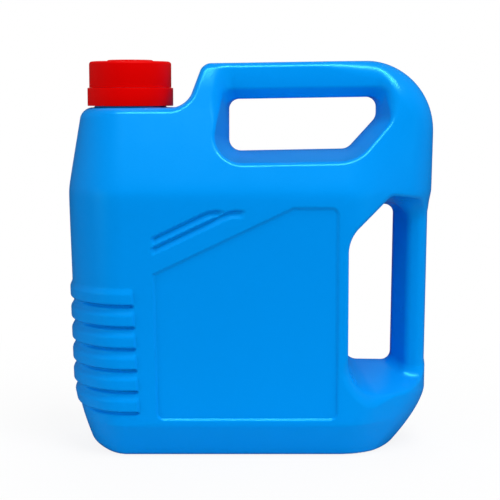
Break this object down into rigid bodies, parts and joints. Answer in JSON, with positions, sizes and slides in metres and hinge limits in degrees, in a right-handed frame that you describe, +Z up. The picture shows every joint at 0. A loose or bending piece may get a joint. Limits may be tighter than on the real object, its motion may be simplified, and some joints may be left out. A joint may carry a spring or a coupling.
{
  "type": "motor oil bottle",
  "caption": "Hollow blow-moulded motor oil can with a through top handle, a rear handle, grip ribs on one end, a recessed label panel, a threaded neck, a tamper band and a screw cap.",
  "frame": {"origin": "middle of the box's underside, where the bottle stands", "axes": "+X along the width from the neck to the rear handle, -Y the front face, +Z up"},
  "size_m": [0.2399, 0.1212, 0.253],
  "materials": {
    "bottle_plastic": "semi-gloss moulded polyethylene",
    "cap_plastic": "satin moulded polypropylene",
    "liner_foam": "matte foamed polyethylene"
  },
  "bodies": {
    "bottle": {"bottle": "bottle_plastic", "tamper_band": "cap_plastic"},
    "liner": {"cap_liner": "liner_foam"},
    "cap": {"cap": "cap_plastic"}
  },
  "joints": [
    {"name": "cap_rise", "type": "slide", "parent": "bottle", "child": "liner", "axis": [0, 0, 1], "range_m": [0, 0.0076]},
    {"name": "cap_turn", "type": "hinge", "parent": "liner", "child": "cap", "pos_m": [-0.079, 0, 0.242], "axis": [0, 0, 1], "range_deg": [0, 540]}
  ],
  "couplings": [
    {"joint": "cap_rise", "follows": "cap_turn", "m_per_rad": 0.00079577}
  ]
}
